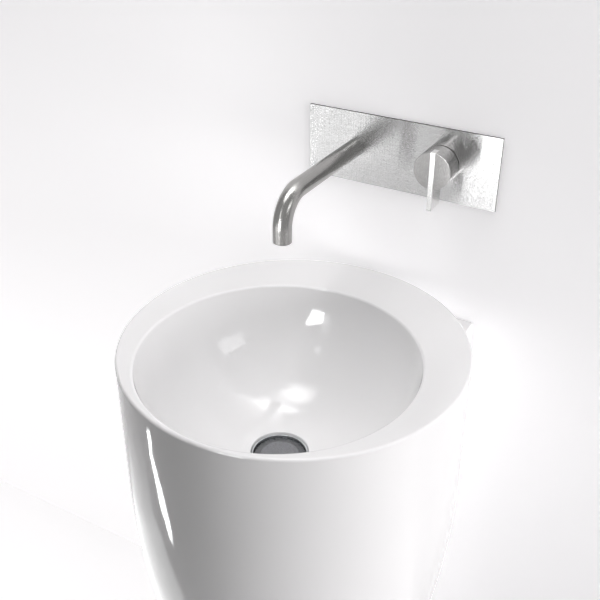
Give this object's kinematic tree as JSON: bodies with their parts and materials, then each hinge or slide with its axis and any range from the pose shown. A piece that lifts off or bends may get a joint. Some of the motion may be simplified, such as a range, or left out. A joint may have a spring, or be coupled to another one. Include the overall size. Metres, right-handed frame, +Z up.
{
  "type": "floor-standing washbasin",
  "caption": "Round floor-standing washbasin in one glazed ceramic body with a bowl set forward in the rim, a rear spine to the wall, trap inside, and a wall-mounted side-lever mixer tap.",
  "frame": {"origin": "on the floor, midway between the two floor bracket holes, which is on the round body's axis", "axes": "+Z up, +Y towards the wall, +X to the right as seen from the room"},
  "size_m": [0.45, 0.534, 1.095],
  "materials": {
    "white_glaze": "high gloss white glaze",
    "grey_foam": "closed-cell foam, matt",
    "white_nylon": "moulded, matt",
    "zinc_steel": "bright zinc plating",
    "chrome_plate": "polished chrome plating",
    "black_rubber": "matt moulded rubber",
    "cast_brass": "cast and machined",
    "galvanised_sheet": "galvanised sheet",
    "brushed_plate": "stainless, brushed lengthwise",
    "satin_steel": "stainless, satin",
    "disc_ceramic": "lapped alumina"
  },
  "bodies": {
    "basin": {"rim": "white_glaze", "bowl": "white_glaze", "pedestal": "white_glaze", "wall_strip_seal": "grey_foam", "stud_sleeves": "white_nylon", "wall_studs": "zinc_steel", "stud_washers": "zinc_steel", "stud_nuts": "zinc_steel", "anchor_nuts": "zinc_steel", "floor_brackets": "white_nylon", "side_screws": "zinc_steel", "screw_caps": "chrome_plate", "flange_seal": "black_rubber", "waste_body": "chrome_plate", "lower_seal": "black_rubber", "waste_locknut": "cast_brass", "plug_guide": "white_nylon", "trap_inlet_nut": "chrome_plate", "inlet_washer": "black_rubber", "trap_inlet_tube": "chrome_plate", "trap_neck_nut": "chrome_plate", "trap_neck_seal": "black_rubber", "trap_body": "chrome_plate", "cup_seal": "black_rubber", "trap_cup": "chrome_plate", "trap_outlet_nut": "chrome_plate", "outlet_seal": "black_rubber", "trap_outlet_tube": "chrome_plate", "outlet_rosette": "chrome_plate", "mounting_plate": "galvanised_sheet", "mixer_body": "cast_brass", "mixer_screws": "zinc_steel", "mixer_nuts": "zinc_steel", "cover_plate": "brushed_plate", "plate_gasket": "grey_foam", "spout_nipple": "cast_brass", "spout_tube": "satin_steel", "spout_set_screw": "satin_steel", "aerator": "white_nylon", "handle_collar": "satin_steel", "cartridge_body": "white_nylon", "cartridge_seal": "black_rubber", "fixed_disc": "disc_ceramic", "cartridge_nut": "cast_brass"},
    "handle": {"handle_body": "satin_steel", "lever_blade": "satin_steel", "handle_grub_screw": "satin_steel", "cartridge_stem": "cast_brass", "moving_disc": "disc_ceramic"},
    "plug": {"plug_cap": "chrome_plate", "plug_seal": "black_rubber", "plug_spindle": "chrome_plate"}
  },
  "joints": [
    {"name": "handle_turn", "type": "hinge", "parent": "basin", "child": "handle", "pos_m": [0.1015, 0.2, 1.0425], "axis": [0, -1, 0], "range_deg": [0, 110]},
    {"name": "plug_slide", "type": "slide", "parent": "basin", "child": "plug", "axis": [0, 0, 1], "range_m": [0, 0.008]}
  ]
}
